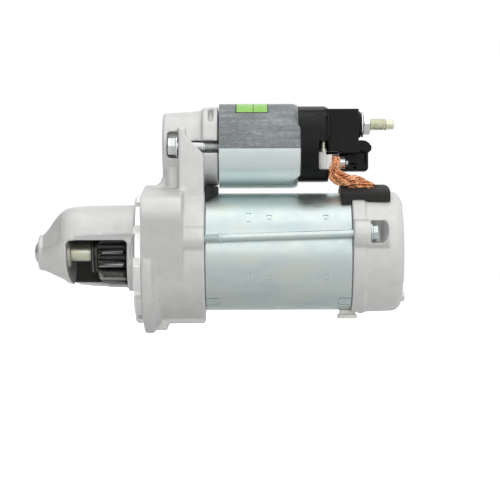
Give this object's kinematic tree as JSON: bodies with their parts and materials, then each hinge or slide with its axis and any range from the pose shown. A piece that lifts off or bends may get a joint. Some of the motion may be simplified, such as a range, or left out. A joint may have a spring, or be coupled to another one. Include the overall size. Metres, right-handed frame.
{
  "type": "starter motor",
  "caption": "Starter motor for a car engine: a permanent-magnet motor with planetary reduction, an overrunning pinion in an open nose and a solenoid on top that shifts it.",
  "frame": {"origin": "on the motor and pinion axis, in the plane of the flange face that meets the engine", "axes": "+X along the motor axis from the pinion towards the end cover, +Z from the motor up to the solenoid; the viewed side, with the pinion's opening and the connector's latch, is -Y"},
  "size_m": [0.2432, 0.129, 0.1511],
  "materials": {
    "cast_aluminium": "sand-cast, matt",
    "zinc_plated_steel": "zinc plated, satin",
    "bright_steel": "bright, machined",
    "yellow_zinc": "yellow passivated zinc",
    "dark_steel": "dark, hardened and oiled",
    "bronze": "sintered bronze",
    "copper": "bare copper",
    "magnet": "sintered ferrite, matt",
    "black_plastic": "moulded, semi-gloss",
    "gear_plastic": "glass-filled, matt",
    "cream_plastic": "natural, slightly clear",
    "rubber": "matt black",
    "carbon": "copper-graphite, matt"
  },
  "bodies": {
    "housing": {"front_housing": "cast_aluminium", "nose_bush": "bronze", "nose_plug": "bright_steel", "yoke": "zinc_plated_steel", "magnet_1": "magnet", "magnet_2": "magnet", "magnet_3": "magnet", "magnet_4": "magnet", "magnet_5": "magnet", "magnet_6": "magnet", "ring_gear": "gear_plastic", "centre_plate": "dark_steel", "end_cover": "cast_aluminium", "rear_bearing": "bright_steel", "brush_holder": "gear_plastic", "brush_1": "carbon", "brush_2": "carbon", "brush_3": "carbon", "brush_4": "carbon", "brush_spring_1": "bright_steel", "brush_spring_2": "bright_steel", "brush_spring_3": "bright_steel", "brush_spring_4": "bright_steel", "solenoid_case": "zinc_plated_steel", "solenoid_coil": "copper", "fixed_core": "dark_steel", "solenoid_cap": "black_plastic", "battery_stud": "yellow_zinc", "battery_washer": "bright_steel", "battery_nut": "bright_steel", "motor_stud": "bright_steel", "motor_nut": "bright_steel", "motor_terminal_block": "bright_steel", "control_blade": "bright_steel", "solenoid_screw_near": "bright_steel", "solenoid_screw_far": "bright_steel", "through_bolt_near": "zinc_plated_steel", "through_bolt_far": "zinc_plated_steel", "end_cover_screw_1": "bright_steel", "end_cover_screw_2": "bright_steel", "grommet": "rubber", "lever_seal": "rubber", "motor_lead": "copper", "drain_vent": "cream_plastic", "plunger_spring": "bright_steel"},
    "armature": {"armature_shaft": "dark_steel", "armature_core": "dark_steel", "armature_winding": "copper", "commutator": "copper"},
    "drive": {"drive_shaft": "yellow_zinc"},
    "planet_1": {"planet_gear_1": "dark_steel"},
    "planet_2": {"planet_gear_2": "dark_steel"},
    "planet_3": {"planet_gear_3": "dark_steel"},
    "shift_collar": {"shift_collar": "gear_plastic"},
    "clutch": {"clutch": "dark_steel"},
    "pinion": {"pinion": "dark_steel", "stop_collar": "dark_steel"},
    "shift_lever": {"shift_lever": "gear_plastic"},
    "plunger": {"plunger": "yellow_zinc"},
    "contact_disc": {"contact_disc": "copper"}
  },
  "joints": [
    {"name": "armature_spin", "type": "hinge", "parent": "housing", "child": "armature", "pos_m": [0.1, 0, 0], "axis": [1, 0, 0], "continuous": true},
    {"name": "drive_spin", "type": "hinge", "parent": "housing", "child": "drive", "pos_m": [0.04, 0, 0], "axis": [1, 0, 0], "continuous": true},
    {"name": "planet_1_spin", "type": "hinge", "parent": "drive", "child": "planet_1", "pos_m": [0.05, 0.018, 0], "axis": [1, 0, 0], "continuous": true},
    {"name": "planet_2_spin", "type": "hinge", "parent": "drive", "child": "planet_2", "pos_m": [0.05, -0.009, 0.01559], "axis": [1, 0, 0], "continuous": true},
    {"name": "planet_3_spin", "type": "hinge", "parent": "drive", "child": "planet_3", "pos_m": [0.05, -0.009, -0.01559], "axis": [1, 0, 0], "continuous": true},
    {"name": "plunger_slide", "type": "slide", "parent": "housing", "child": "plunger", "axis": [1, 0, 0], "range_m": [0, 0.01], "stiffness_N_per_m": 1500, "springref_m": -0.01, "deforming": ["plunger_spring"]},
    {"name": "lever_swing", "type": "hinge", "parent": "housing", "child": "shift_lever", "pos_m": [0.028, 0, 0.0383], "axis": [0, 1, 0], "range_deg": [0, 18.2]},
    {"name": "collar_slide", "type": "slide", "parent": "housing", "child": "shift_collar", "axis": [-1, 0, 0], "range_m": [0, 0.0119]},
    {"name": "clutch_spin", "type": "hinge", "parent": "shift_collar", "child": "clutch", "pos_m": [0.015, 0, 0], "axis": [1, 0, 0], "continuous": true},
    {"name": "pinion_overrun", "type": "hinge", "parent": "clutch", "child": "pinion", "pos_m": [-0.02, 0, 0], "axis": [1, 0, 0], "continuous": true},
    {"name": "contact_slide", "type": "slide", "parent": "housing", "child": "contact_disc", "axis": [1, 0, 0], "range_m": [0, 0.0021]}
  ],
  "couplings": [
    {"joint": "drive_spin", "follows": "armature_spin", "ratio": 0.22917},
    {"joint": "planet_1_spin", "follows": "armature_spin", "ratio": -0.65224},
    {"joint": "planet_2_spin", "follows": "armature_spin", "ratio": -0.65224},
    {"joint": "planet_3_spin", "follows": "armature_spin", "ratio": -0.65224},
    {"joint": "clutch_spin", "follows": "armature_spin", "ratio": 0.22917},
    {"joint": "lever_swing", "follows": "plunger_slide", "rad_per_m": 31.6},
    {"joint": "collar_slide", "follows": "plunger_slide", "ratio": 1.19},
    {"joint": "contact_slide", "follows": "plunger_slide", "ratio": 0.2}
  ]
}
